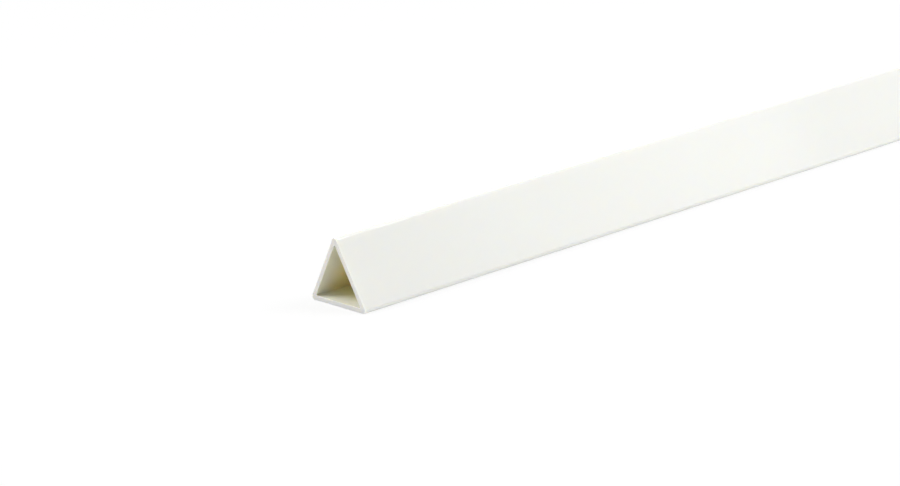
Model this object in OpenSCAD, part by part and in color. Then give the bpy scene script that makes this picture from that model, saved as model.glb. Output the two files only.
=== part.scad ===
// Hollow white PVC trim of equilateral triangle section, sold by the length.
// The strip lies on one of its three equal sides and runs along X. The origin is under the
// middle of the strip, on the surface that it lies on.

/* [Section] */
// Overall width of one side, measured over its two rounded edges
side_w = 20; // [12:0.5:40]
// Thickness of the three walls
wall = 1.25; // [0.8:0.05:2]
// Radius over each of the three long outer edges
edge_r = 0.9; // [0.3:0.1:1.2]
// Radius inside each of the hollow's three corners
inner_r = 0.3; // [0.1:0.1:1]

/* [Strip] */
// Length of the strip between its two square cuts
strip_l = 1000; // [100:50:3000]
// Colour of the plastic
plastic = "#f4f4ee"; // [#f4f4ee:White, #e9e2cf:Cream, #a9adb0:Grey]

/* [Hidden] */
$fn = 96;
// The three corners of an equilateral triangle, as angles about its middle, top corner first
CORNER_ANGLES = [90, 210, 330];
// From the middle of a corner's arc to where the two straight sides leave the arc
ARC_HALF_ANGLE = 60;
// From the section's middle to the centres of the outer edges' arcs, and to the flat sides
edge_out = (side_w - 2 * edge_r) / sqrt(3);
side_out = edge_out / 2 + edge_r;
// The same two distances for the hollow, whose sides lie one wall further in
hollow_side_out = side_out - wall;
hollow_out = 2 * (hollow_side_out - inner_r);

function point_at(angle, distance) = distance * [cos(angle), sin(angle)];

// An equilateral triangle whose corners are arcs of radius r, centred at centre_out from its
// middle. Its straight sides run between the points where they touch the arcs.
module rounded_triangle(centre_out, r) {
    touch_points = [
        for (angle = CORNER_ANGLES, turn = [-ARC_HALF_ANGLE, ARC_HALF_ANGLE])
            point_at(angle, centre_out) + point_at(angle + turn, r)
    ];
    polygon(touch_points);
    for (angle = CORNER_ANGLES)
        translate(point_at(angle, centre_out))
            circle(r);
}

// The die's outline: an outer triangle less its hollow, with one wall on all three sides
module trim_section() {
    difference() {
        rounded_triangle(edge_out, edge_r);
        rounded_triangle(hollow_out, inner_r);
    }
}

module triangular_trim() {
    color(plastic)
        translate([0, 0, side_out])
            rotate([90, 0, 90])
                linear_extrude(strip_l, center = true)
                    trim_section();
}

triangular_trim();
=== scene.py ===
"""Dresses a hollow triangular PVC trim strip and stands it in a plain white studio.

The strip is one skin carried round the triangular section, in metres, in the part's own frame:
+X along the strip, +Y across its base, +Z up through its top edge.
"""

import bpy
import numpy as np
from bpy.props import FloatProperty, FloatVectorProperty, IntProperty, PointerProperty
from bpy.types import Operator, Panel, PropertyGroup
from mathutils import Matrix, Vector


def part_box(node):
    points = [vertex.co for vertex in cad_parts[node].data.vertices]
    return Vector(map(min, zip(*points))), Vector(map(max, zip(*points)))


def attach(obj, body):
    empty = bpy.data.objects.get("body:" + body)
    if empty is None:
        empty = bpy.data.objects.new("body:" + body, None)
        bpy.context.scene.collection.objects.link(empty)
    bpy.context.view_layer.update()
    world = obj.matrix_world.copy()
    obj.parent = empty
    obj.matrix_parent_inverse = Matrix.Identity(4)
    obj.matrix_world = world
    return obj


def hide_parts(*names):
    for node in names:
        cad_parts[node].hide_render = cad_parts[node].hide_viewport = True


bl_info = {
    "name": "Triangular PVC Trim",
    "version": (1, 0, 0),
    "blender": (4, 5, 0),
    "location": "View3D > Sidebar > Trim",
    "description": "Makes a saw-cut strip of hollow triangular PVC trim and its white studio",
    "category": "Add Mesh",
}

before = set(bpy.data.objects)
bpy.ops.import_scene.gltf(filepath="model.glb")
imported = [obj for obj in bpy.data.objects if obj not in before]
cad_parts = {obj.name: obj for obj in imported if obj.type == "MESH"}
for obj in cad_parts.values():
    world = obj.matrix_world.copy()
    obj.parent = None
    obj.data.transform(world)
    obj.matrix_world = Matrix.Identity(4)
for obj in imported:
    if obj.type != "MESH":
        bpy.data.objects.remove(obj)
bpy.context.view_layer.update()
STRIP_NODE = "triangular_trim"
STRIP_LOW, STRIP_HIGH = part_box(STRIP_NODE)
MM = 0.001
WHITE = (1.0, 1.0, 1.0, 1.0)

# Rows of points stand this far behind each cut's broken edge, and evenly over the strip's middle,
# which starts MIDDLE_START behind the cut.
CROWDED_ROWS = np.array([0.08, 0.25, 0.6, 1.5, 4.0, 9.0, 18.0]) * MM
MIDDLE_START = 30.0 * MM
OUTSIDE_ROWS = 65
HOLLOW_ROWS = 17
WALL_ROWS = 7
BREAK_POINTS = 5

# The waves along the strip, each in radians per metre with its phase.
HAUL_WAVES = ((31.0, 0.7), (53.0, 2.1))
# Where the saw's spindle lies in Y and Z, in saw radii.
SPINDLE = (-0.3, -0.95)
# The narrowest side, in times the wall and both radii together.
LEAST_SIDE = 4.0

# Patterns of the plastic: scales per metre, and depths and reaches in metres.
DIE_LINE_SCALE = (5.0, 1900.0, 1900.0)
DIE_LINE_DEPTH = 0.012 * MM
DIE_LINE_GLOSS = 0.02
MOTTLE_SCALE = 14.0
MOTTLE_SHADE = 0.97
GRIT_SCALE = 5200.0
GRIT_DEPTH = 0.02 * MM
GRIT_OFF_THE_CUT = 0.05
# How far in from each cut the hollow's painted bounce light turns from the mouth colour to the
# yellower depth colour.
MOUTH_ENDS = 1.5 * MM
DEPTH_STARTS = 7.5 * MM
PVC_IOR = 1.53
SCATTER_REACH = 0.8 * MM
SCATTER_BY_COLOUR = (1.0, 0.9, 0.7)

# A Mix node's sockets for its two inputs and its output, by its kind.
MIX_SOCKETS = {"FLOAT": (2, 3, 0), "RGBA": (6, 7, 2)}

SENSOR_WIDTH_MM = 36.0
CAMERA_CLIP = (0.01, 50.0)

# Each lamp: its place from the middle of the near cut, how far along the strip the point that it
# faces lies, its width and height in metres, and its watts. The card shows in the long face, and
# its far edge is where that reflection ends.
LAMPS = {
    "key_softbox": ((-0.695, 0.663, 1.151), 0.0, (0.9, 0.9), 16.2),
    "close_softbox": ((0.3, -0.3, 0.42), 0.2, (0.2, 0.2), 0.88),
    "card": ((0.541, -0.681, 0.358), 0.0, (0.6, 0.45), 0.9),
    "right_softbox": ((1.7, -1.2, 0.69), 0.0, (0.8, 0.8), 0.8),
    "far_front_softbox": ((0.95, -0.45, 0.62), 0.85, (0.7, 0.3), 1.5),
    "far_back_softbox": ((0.95, 0.45, 0.62), 0.85, (0.7, 0.3), 1.2),
}


class StripSettings(PropertyGroup):
    """Sizes of the strip and of the marks that the die and the saw leave on it"""

    length: FloatProperty(
        name="Length", description="Between the two cut ends",
        default=STRIP_HIGH[0] - STRIP_LOW[0], min=0.1, unit="LENGTH", precision=4,
    )
    side: FloatProperty(
        name="Side", description="Width of one side over its rounded edges",
        default=STRIP_HIGH[1] - STRIP_LOW[1], min=0.01, unit="LENGTH", precision=5,
    )
    wall: FloatProperty(
        name="Wall", description="Thickness of the three walls",
        default=1.25 * MM, min=0.5 * MM, unit="LENGTH", precision=5,
    )
    edge_radius: FloatProperty(
        name="Edge radius", description="Radius over each of the three long outer edges",
        default=0.9 * MM, min=0.2 * MM, unit="LENGTH", precision=5,
    )
    inner_radius: FloatProperty(
        name="Inside radius", description="Radius inside each corner of the hollow",
        default=0.3 * MM, min=0.1 * MM, unit="LENGTH", precision=5,
    )
    sink: FloatProperty(
        name="Sink", description="How far the middle of each side draws in as the plastic cools",
        default=0.04 * MM, min=0.0, unit="LENGTH", precision=5,
    )
    ripple: FloatProperty(
        name="Ripple", description="Depth of the slow waves that hauling leaves along the strip",
        default=0.012 * MM, min=0.0, unit="LENGTH", precision=5,
    )
    edge_break: FloatProperty(
        name="Outer cut edge",
        description="Radius of the broken edge where a saw cut meets the outside",
        default=0.06 * MM, min=0.02 * MM, unit="LENGTH", precision=5,
    )
    hollow_break: FloatProperty(
        name="Inner cut edge",
        description="Radius of the broken edge where a saw cut meets the hollow",
        default=0.02 * MM, min=0.01 * MM, unit="LENGTH", precision=5,
    )
    tooth_pitch: FloatProperty(
        name="Tooth pitch", description="Distance between two marks of the saw's teeth",
        default=0.8 * MM, min=0.2 * MM, unit="LENGTH", precision=5,
    )
    tooth_depth: FloatProperty(
        name="Tooth depth", description="Depth of the marks of the saw's teeth",
        default=0.02 * MM, min=0.0, unit="LENGTH", precision=5,
    )
    saw_radius: FloatProperty(
        name="Saw radius", description="Radius of the marks, which is the blade's own",
        default=0.125, min=0.02, unit="LENGTH", precision=4,
    )
    arc_points: IntProperty(
        name="Corner points", description="Points round each corner of the section",
        default=17, min=5, max=65,
    )
    side_points: IntProperty(
        name="Side points", description="Points across each flat side of the section",
        default=96, min=3, max=200,
    )


class FinishSettings(PropertyGroup):
    """Colours and gloss of the plastic; the hollow's colours are painted shade and bounce light,
    and the sawn ends' colour is painted shade
    """

    plastic: FloatVectorProperty(
        name="Plastic", description="Colour of the outside",
        default=(0.85, 0.857, 0.822), size=3, min=0.0, max=1.0, subtype="COLOR",
    )
    # Painted shade: the hollow is coloured darker and yellower than the outside, standing in for
    # the shade inside it.
    mouth: FloatVectorProperty(
        name="Mouth", description="Colour of the hollow at its open ends",
        default=(0.775, 0.766, 0.655), size=3, min=0.0, max=1.0, subtype="COLOR",
    )
    # Painted bounce light: further in the hollow is coloured yellower still, standing in for light
    # that yellows as it bounces round inside.
    depth: FloatVectorProperty(
        name="Depth", description="Colour further into the hollow",
        default=(0.88, 0.83, 0.51), size=3, min=0.0, max=1.0, subtype="COLOR",
    )
    # Painted shade: the sawn ends are coloured darker than the plastic, standing in for the shade
    # on the ends.
    cut: FloatVectorProperty(
        name="Cut", description="Colour of the sawn ends",
        default=(0.708, 0.701, 0.68), size=3, min=0.0, max=1.0, subtype="COLOR",
    )
    roughness: FloatProperty(
        name="Roughness", description="Roughness of the outside, from mirror to chalk",
        default=0.08, min=0.0, max=1.0, subtype="FACTOR",
    )
    hollow_roughness: FloatProperty(
        name="Hollow roughness", description="Roughness of the inside, which no die polishes",
        default=0.5, min=0.0, max=1.0, subtype="FACTOR",
    )
    cut_roughness: FloatProperty(
        name="Cut roughness", description="Roughness of the sawn ends",
        default=0.62, min=0.0, max=1.0, subtype="FACTOR",
    )


class StudioSettings(PropertyGroup):
    """Floor, lamps and camera"""

    floor_size: FloatProperty(
        name="Floor", description="Width of the square floor",
        default=8.0, min=1.0, unit="LENGTH",
    )
    floor_colour: FloatVectorProperty(
        name="Floor colour", description="Colour of the floor",
        default=(0.9, 0.9, 0.9), size=3, min=0.0, max=1.0, subtype="COLOR",
    )
    shadow: FloatProperty(
        name="Shadow", description="How much of the floor's own shade the camera sees",
        default=0.2, min=0.0, max=1.0, subtype="FACTOR",
    )
    sky: FloatProperty(
        name="Sky", description="Strength of the even light from all round",
        default=0.40, min=0.0, max=5.0,
    )
    lens: FloatProperty(
        name="Lens", description="Focal length on the 36 mm wide sensor, in millimetres",
        default=142.52, min=10.0, max=400.0,
    )
    azimuth: FloatProperty(
        name="Azimuth", description="Turn of the view, from along +Y towards -X",
        default=np.radians(-41.01), subtype="ANGLE",
    )
    elevation: FloatProperty(
        name="Elevation", description="How steeply the camera looks down",
        default=np.radians(16.69), subtype="ANGLE",
    )
    roll: FloatProperty(
        name="Roll", description="Turn of the camera about its own line of sight",
        default=np.radians(3.41), subtype="ANGLE",
    )
    near_end: FloatVectorProperty(
        name="Near end",
        description="Where the near end's foot lies before the camera: right, up and ahead",
        default=(-27.17 * MM, -15.59 * MM, 868.4 * MM), size=3, unit="LENGTH", precision=5,
    )


def rounded_triangle(centre_out, radius, lift, settings):
    """Gives points once round a triangle with round corners, and their directions and places.

    The arcs' centres lie at centre_out from the middle, which is at the height lift. At a corner
    the direction turns 120 degrees over the arc, and along a side it stays square to it. Each point
    is centre + radius * direction. The place runs from 0 to 1 along a side and is 0 on the arcs.
    """
    corner_angle = np.radians(np.array([90.0, 210.0, 330.0]))
    corner = centre_out * np.stack([np.cos(corner_angle), np.sin(corner_angle)], axis=1)
    turn = np.radians(np.linspace(-60.0, 60.0, settings.arc_points))
    arc_angle = corner_angle[:, None] + turn[None, :]
    arc_centre = np.repeat(corner[:, None, :], settings.arc_points, axis=1)
    share = np.linspace(0.0, 1.0, settings.side_points + 2)[1:-1]
    side_angle = np.repeat(corner_angle[:, None] + np.radians(60.0), settings.side_points, axis=1)
    step = (np.roll(corner, -1, axis=0) - corner)[:, None, :]
    side_centre = corner[:, None, :] + share[None, :, None] * step
    angle = np.concatenate([arc_angle, side_angle], axis=1).ravel()
    centre = np.concatenate([arc_centre, side_centre], axis=1).reshape(-1, 2)
    side_place = np.broadcast_to(share, side_angle.shape)
    place = np.concatenate([np.zeros_like(arc_angle), side_place], axis=1).ravel()
    direction = np.stack([np.cos(angle), np.sin(angle)], axis=1)
    return centre + radius * direction + np.array([0.0, lift]), direction, place


def broken_edge(radius):
    """A quarter circle over a cut's edge: each point's depth behind the cut and under the skin."""
    turn = np.linspace(0.0, 0.5 * np.pi, BREAK_POINTS)
    return radius - radius * np.sin(turn), radius - radius * np.cos(turn)


def through_the_wall(settings):
    """Gives a closed loop through the wall and along the strip: x, share, inset, cut and hollow.

    The loop is a long rectangle with a quarter circle at each of its four corners. It runs out
    along the outside, over the far cut, back along the hollow and over the near cut. The share is
    1 on the outside's skin and 0 on the hollow's, and the inset is the depth under that skin. The
    rows crowd towards the cuts. cut is 1 on a sawn face and a half on its broken edges, and hollow
    is 1 inside.
    """
    half = 0.5 * settings.length
    outer_break, inner_break = settings.edge_break, settings.hollow_break
    outer_behind, outer_inset = broken_edge(outer_break)
    inner_behind, inner_inset = broken_edge(inner_break)
    close = half - outer_break - CROWDED_ROWS
    middle = half - MIDDLE_START
    outer_x = np.concatenate([-close, np.linspace(-middle, middle, OUTSIDE_ROWS), close[::-1]])
    inner_x = np.concatenate([close, np.linspace(middle, -middle, HOLLOW_ROWS), -close[::-1]])
    across = np.linspace(1.0, 0.0, WALL_ROWS + 2)[1:-1]
    face_inset = inner_break + (outer_break - inner_break) * across
    parts = [
        # Along the outside, over the far cut,
        (outer_x, 1.0, 0.0, 0.0, 0.0),
        (half - outer_behind, 1.0, outer_inset, 0.5, 0.0),
        (half, across, face_inset, 1.0, 0.0),
        (half - inner_behind[::-1], 0.0, inner_inset[::-1], 0.5, 0.0),
        # back along the hollow and over the near cut.
        (inner_x, 0.0, 0.0, 0.0, 1.0),
        (inner_behind - half, 0.0, inner_inset, 0.5, 0.0),
        (-half, across[::-1], face_inset[::-1], 1.0, 0.0),
        (outer_behind[::-1] - half, 1.0, outer_inset[::-1], 0.5, 0.0),
    ]
    full = [np.broadcast_arrays(*part) for part in parts]
    return [np.concatenate(column) for column in zip(*full)]


def put_grid(name, points, attributes):
    """Makes a closed mesh of quads from a grid of points that joins itself both ways round.

    points[i, j] is linked to its neighbours at i + 1 and j + 1, and the last row and column
    to the first.
    """
    rows, columns, _ = points.shape
    index = np.arange(rows * columns).reshape(rows, columns)
    beside = np.roll(index, -1, axis=1)
    corners = [index, beside, np.roll(beside, -1, axis=0), np.roll(index, -1, axis=0)]
    quads = np.stack(corners, axis=-1)
    mesh = bpy.data.meshes.new(name)
    mesh.vertices.add(index.size)
    mesh.vertices.foreach_set("co", points.astype(np.float32).ravel())
    mesh.loops.add(quads.size)
    mesh.loops.foreach_set("vertex_index", quads.astype(np.int32).ravel())
    mesh.polygons.add(index.size)
    mesh.polygons.foreach_set("loop_start", np.arange(0, quads.size, 4, dtype=np.int32))
    mesh.polygons.foreach_set("use_smooth", np.ones(index.size, dtype=bool))
    for title, values in attributes.items():
        layer = mesh.attributes.new(title, "FLOAT", "POINT")
        layer.data.foreach_set("value", values.astype(np.float32).ravel())
    mesh.update(calc_edges=True)
    mesh.validate()
    piece = bpy.data.objects.new(name, mesh)
    bpy.context.scene.collection.objects.link(piece)
    return piece


def strip_mesh(settings):
    """The strip's skin: the wall's loop carried once round the section.

    Each point is the share times (outside - inset * direction), plus the rest of the share times
    (hollow + inset * direction). The outside draws in by a half sine across each side, whose depth
    follows slow sines along the strip. The sawn faces are cut back by a raised cosine of the
    distance from the saw's spindle, so its tooth marks are arcs.
    """
    edge_out = (settings.side - 2.0 * settings.edge_radius) / np.sqrt(3.0)
    side_out = 0.5 * edge_out + settings.edge_radius
    hollow_out = 2.0 * (side_out - settings.wall - settings.inner_radius)
    outer, direction, place = rounded_triangle(edge_out, settings.edge_radius, side_out, settings)
    inner, _, _ = rounded_triangle(hollow_out, settings.inner_radius, side_out, settings)
    x, share, inset, cut, hollow = through_the_wall(settings)
    face = np.where(cut == 1.0, 1.0, 0.0)
    waves = [np.sin(x * number + phase) for number, phase in HAUL_WAVES]
    wave = 0.5 - 0.5 * np.mean(waves, axis=0)
    draw_in = np.sin(np.pi * place)[None, :] * (settings.sink + settings.ripple * wave[:, None])
    from_outside = outer[None] - (inset[:, None] + draw_in)[:, :, None] * direction[None]
    from_hollow = inner[None] + inset[:, None, None] * direction[None]
    section = share[:, None, None] * from_outside + (1.0 - share)[:, None, None] * from_hollow
    y, z = section[:, :, 0], section[:, :, 1]
    spindle_y, spindle_z = (settings.saw_radius * offset for offset in SPINDLE)
    from_spindle = np.hypot(y - spindle_y, z - spindle_z)
    mark = 0.5 - 0.5 * np.cos(2.0 * np.pi * from_spindle / settings.tooth_pitch)
    along = x[:, None] - np.sign(x)[:, None] * settings.tooth_depth * mark * face[:, None]
    masks = {
        "cut": np.broadcast_to(cut[:, None], y.shape),
        "hollow": np.broadcast_to(hollow[:, None], y.shape),
    }
    return put_grid("trim_strip", np.stack([along, y, z], axis=-1), masks)


def add_node(tree, kind, inputs=None, **fields):
    """Adds a node with its fields, and sets each input to a value or links it to a socket."""
    made = tree.nodes.new(kind)
    for field, value in fields.items():
        setattr(made, field, value)
    for socket, value in (inputs or {}).items():
        if isinstance(value, bpy.types.NodeSocket):
            tree.links.new(value, made.inputs[socket])
        else:
            made.inputs[socket].default_value = value
    return made


def maths(tree, operation, *numbers):
    """Works an operation on numbers or sockets."""
    inputs = dict(enumerate(numbers))
    return add_node(tree, "ShaderNodeMath", inputs, operation=operation).outputs["Value"]


def mix(tree, kind, factor, first, second):
    """Mixes two numbers or two colours, as the kind says, by a factor from 0 to 1."""
    at_first, at_second, out = MIX_SOCKETS[kind]
    inputs = {"Factor": factor, at_first: first, at_second: second}
    return add_node(tree, "ShaderNodeMix", inputs, data_type=kind).outputs[out]


def mix_shaders(tree, factor, first, second):
    """Mixes the shaders of two nodes by a factor from 0 to 1."""
    inputs = {0: factor, 1: first.outputs[0], 2: second.outputs[0]}
    return add_node(tree, "ShaderNodeMixShader", inputs)


def noise(tree, place, scale, detail, roughness):
    """A noise from 0 to 1 at a place."""
    inputs = {"Vector": place, "Scale": scale, "Detail": detail, "Roughness": roughness}
    return add_node(tree, "ShaderNodeTexNoise", inputs).outputs["Fac"]


def bump(tree, height, strength, distance, **under):
    """A normal that is tilted by a height, over another normal where one is given."""
    inputs = {"Height": height, "Strength": strength, "Distance": distance, **under}
    return add_node(tree, "ShaderNodeBump", inputs).outputs["Normal"]


def new_material(name):
    """Gives a material without nodes, and its tree."""
    material = bpy.data.materials.new(name)
    material.use_nodes = True
    material.node_tree.nodes.clear()
    return material, material.node_tree


def plastic_material(finish, strip):
    """Extruded PVC: die lines along the strip, a faint mottle, sawn ends darkened as painted shade,
    and a hollow coloured as painted shade and bounce light.
    """
    material, tree = new_material("extruded_pvc")
    place = add_node(tree, "ShaderNodeTexCoord").outputs["Object"]
    cut = add_node(tree, "ShaderNodeAttribute", attribute_name="cut").outputs["Fac"]
    hollow = add_node(tree, "ShaderNodeAttribute", attribute_name="hollow").outputs["Fac"]

    drawn = add_node(tree, "ShaderNodeMapping", {"Vector": place, "Scale": DIE_LINE_SCALE})
    lines = noise(tree, drawn.outputs["Vector"], scale=1.0, detail=3.0, roughness=0.6)
    mottle = noise(tree, place, MOTTLE_SCALE, detail=2.0, roughness=0.5)
    grit = noise(tree, place, GRIT_SCALE, detail=2.0, roughness=0.6)

    plastic, mouth, depth, sawn = (
        (*colour, 1.0) for colour in (finish.plastic, finish.mouth, finish.depth, finish.cut)
    )
    shade = (*(MOTTLE_SHADE * channel for channel in finish.plastic), 1.0)
    # The hollow's colours are painted shade and bounce light: darker than the outside at the mouth,
    # and yellower from MOUTH_ENDS to DEPTH_STARTS in from each cut.
    along = add_node(tree, "ShaderNodeSeparateXYZ", {"Vector": place}).outputs["X"]
    half = 0.5 * strip.length
    bounce_tint_reach = add_node(
        tree, "ShaderNodeMapRange",
        {
            "Value": maths(tree, "ABSOLUTE", along),
            "From Min": half - MOUTH_ENDS,
            "From Max": half - DEPTH_STARTS,
        },
        interpolation_type="SMOOTHSTEP",
    ).outputs["Result"]
    outside = mix(tree, "RGBA", mottle, plastic, shade)
    inside = mix(tree, "RGBA", bounce_tint_reach, mouth, depth)
    body = mix(tree, "RGBA", hollow, outside, inside)
    # The sawn ends take the cut colour, which is painted shade: darker than the plastic.
    colour = mix(tree, "RGBA", cut, body, sawn)

    gloss = add_node(
        tree, "ShaderNodeMapRange",
        {
            "Value": lines, "From Min": 0.3, "From Max": 0.7,
            "To Min": finish.roughness - DIE_LINE_GLOSS,
            "To Max": finish.roughness + DIE_LINE_GLOSS,
        },
    ).outputs["Result"]
    body_roughness = mix(tree, "FLOAT", hollow, gloss, finish.hollow_roughness)
    roughness = mix(tree, "FLOAT", cut, body_roughness, finish.cut_roughness)

    grit_height = maths(tree, "MULTIPLY", grit, mix(tree, "FLOAT", cut, GRIT_OFF_THE_CUT, 1.0))
    lined = bump(tree, lines, strength=0.25, distance=DIE_LINE_DEPTH)
    gritty = bump(tree, grit_height, strength=0.5, distance=GRIT_DEPTH, Normal=lined)

    shader = add_node(
        tree, "ShaderNodeBsdfPrincipled",
        {
            "Base Color": colour,
            "Roughness": roughness,
            "Normal": gritty,
            "IOR": PVC_IOR,
            "Subsurface Weight": 1.0,
            "Subsurface Radius": SCATTER_BY_COLOUR,
            "Subsurface Scale": SCATTER_REACH,
        },
    )
    add_node(tree, "ShaderNodeOutputMaterial", {"Surface": shader.outputs["BSDF"]})
    return material


def sees_background(tree):
    """A socket that is 1 on the camera's rays and on those that gloss or glass sends on."""
    rays = add_node(tree, "ShaderNodeLightPath").outputs
    direct = maths(tree, "MAXIMUM", rays["Is Camera Ray"], rays["Is Glossy Ray"])
    return maths(tree, "MAXIMUM", direct, rays["Is Transmission Ray"])


def floor_material(studio):
    """A white floor: the camera and mirror rays see it white, with a share of its own shade."""
    material, tree = new_material("studio_floor")
    diffuse = add_node(tree, "ShaderNodeBsdfDiffuse", {"Color": (*studio.floor_colour, 1.0)})
    white = add_node(tree, "ShaderNodeEmission", {"Color": WHITE, "Strength": 1.0})
    share = maths(tree, "MULTIPLY", sees_background(tree), 1.0 - studio.shadow)
    mixer = mix_shaders(tree, share, diffuse, white)
    add_node(tree, "ShaderNodeOutputMaterial", {"Surface": mixer.outputs["Shader"]})
    return material


def set_world(studio):
    """White all round: an even light, and pure white where a camera or mirror ray ends."""
    world = bpy.data.worlds.new("studio_world")
    world.use_nodes = True
    tree = world.node_tree
    tree.nodes.clear()
    lit = add_node(tree, "ShaderNodeBackground", {"Color": WHITE, "Strength": studio.sky})
    white = add_node(tree, "ShaderNodeBackground", {"Color": WHITE, "Strength": 1.0})
    mixer = mix_shaders(tree, sees_background(tree), lit, white)
    add_node(tree, "ShaderNodeOutputWorld", {"Surface": mixer.outputs["Shader"]})
    bpy.context.scene.world = world


def add_lamps():
    """Adds the rectangular lamps, each facing a point of the strip at half its height."""
    near_end = Vector((STRIP_LOW[0], 0.0, 0.5 * STRIP_HIGH[2]))
    for name, (offset, along, size, power) in LAMPS.items():
        lamp = bpy.data.lights.new(name, "AREA")
        lamp.shape = "RECTANGLE"
        lamp.size, lamp.size_y = size
        lamp.energy = power
        holder = bpy.data.objects.new(name, lamp)
        at, towards = near_end + Vector(offset), near_end + Vector((along, 0.0, 0.0))
        holder.location = at
        holder.rotation_euler = (towards - at).to_track_quat("-Z", "Y").to_euler()
        bpy.context.scene.collection.objects.link(holder)


def add_camera(studio):
    """Looks along the azimuth and elevation, rolled, with the near end's foot at its place."""
    turn, dip = studio.azimuth, studio.elevation
    ahead = Vector((-np.sin(turn) * np.cos(dip), np.cos(turn) * np.cos(dip), -np.sin(dip)))
    level = Vector((np.cos(turn), np.sin(turn), 0.0))
    upright = level.cross(ahead)
    right = level * np.cos(studio.roll) - upright * np.sin(studio.roll)
    up = upright * np.cos(studio.roll) + level * np.sin(studio.roll)
    foot = Vector((STRIP_LOW[0], 0.0, STRIP_LOW[2]))
    sideways, upwards, forwards = studio.near_end
    place = foot - right * sideways - up * upwards - ahead * forwards
    lens = bpy.data.cameras.new("studio_camera")
    lens.sensor_width = SENSOR_WIDTH_MM
    lens.lens = studio.lens
    lens.clip_start, lens.clip_end = CAMERA_CLIP
    camera = bpy.data.objects.new("studio_camera", lens)
    camera.matrix_world = Matrix((
        (right.x, up.x, -ahead.x, place.x),
        (right.y, up.y, -ahead.y, place.y),
        (right.z, up.z, -ahead.z, place.z),
        (0.0, 0.0, 0.0, 1.0),
    ))
    bpy.context.scene.collection.objects.link(camera)
    bpy.context.scene.camera = camera


class TRIM_OT_make_strip(Operator):
    """Make the strip of trim, which stands for its plain solid"""

    bl_idname = "trim.make_strip"
    bl_label = "Strip"

    def execute(self, context):
        settings = context.scene.trim_strip
        walls = settings.edge_radius + settings.wall + settings.inner_radius
        if settings.side <= LEAST_SIDE * walls:
            raise RuntimeError("The side is too narrow for its walls and rounded edges")
        strip = strip_mesh(settings)
        strip.data.materials.append(plastic_material(context.scene.trim_finish, settings))
        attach(strip, "root")
        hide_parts(STRIP_NODE)
        return {"FINISHED"}


class TRIM_OT_make_studio(Operator):
    """Make the white floor, the soft lamps, the surrounding light and the camera"""

    bl_idname = "trim.make_studio"
    bl_label = "Studio"

    def execute(self, context):
        studio = context.scene.trim_studio
        half = 0.5 * studio.floor_size
        corners = [(-half, -half, 0.0), (half, -half, 0.0), (half, half, 0.0), (-half, half, 0.0)]
        mesh = bpy.data.meshes.new("studio_floor")
        mesh.from_pydata(corners, [], [(0, 1, 2, 3)])
        floor = bpy.data.objects.new("studio_floor", mesh)
        mesh.materials.append(floor_material(studio))
        context.scene.collection.objects.link(floor)
        set_world(studio)
        add_lamps()
        add_camera(studio)
        context.scene.view_settings.view_transform = "Standard"
        return {"FINISHED"}


class TRIM_PT_sidebar(Panel):
    """Lists what can be made and its settings"""

    bl_idname = "TRIM_PT_sidebar"
    bl_label = "Triangular trim"
    bl_space_type = "VIEW_3D"
    bl_region_type = "UI"
    bl_category = "Trim"

    def draw(self, context):
        column = self.layout.column(align=True)
        column.operator(TRIM_OT_make_strip.bl_idname)
        column.operator(TRIM_OT_make_studio.bl_idname)
        scene = context.scene
        for group in (scene.trim_strip, scene.trim_finish, scene.trim_studio):
            box = self.layout.box()
            for title in group.bl_rna.properties.keys():
                if title not in {"rna_type", "name"}:
                    box.prop(group, title)


CLASSES = (
    StripSettings, FinishSettings, StudioSettings,
    TRIM_OT_make_strip, TRIM_OT_make_studio, TRIM_PT_sidebar,
)


def register():
    """Registers the classes and gives the scene their settings."""
    for cls in CLASSES:
        bpy.utils.register_class(cls)
    bpy.types.Scene.trim_strip = PointerProperty(type=StripSettings)
    bpy.types.Scene.trim_finish = PointerProperty(type=FinishSettings)
    bpy.types.Scene.trim_studio = PointerProperty(type=StudioSettings)


def unregister():
    """Takes back what register does, in the opposite order."""
    del bpy.types.Scene.trim_studio
    del bpy.types.Scene.trim_finish
    del bpy.types.Scene.trim_strip
    for cls in reversed(CLASSES):
        bpy.utils.unregister_class(cls)


def main():
    register()
    bpy.ops.trim.make_strip()
    bpy.ops.trim.make_studio()


if __name__ == "__main__":
    main()
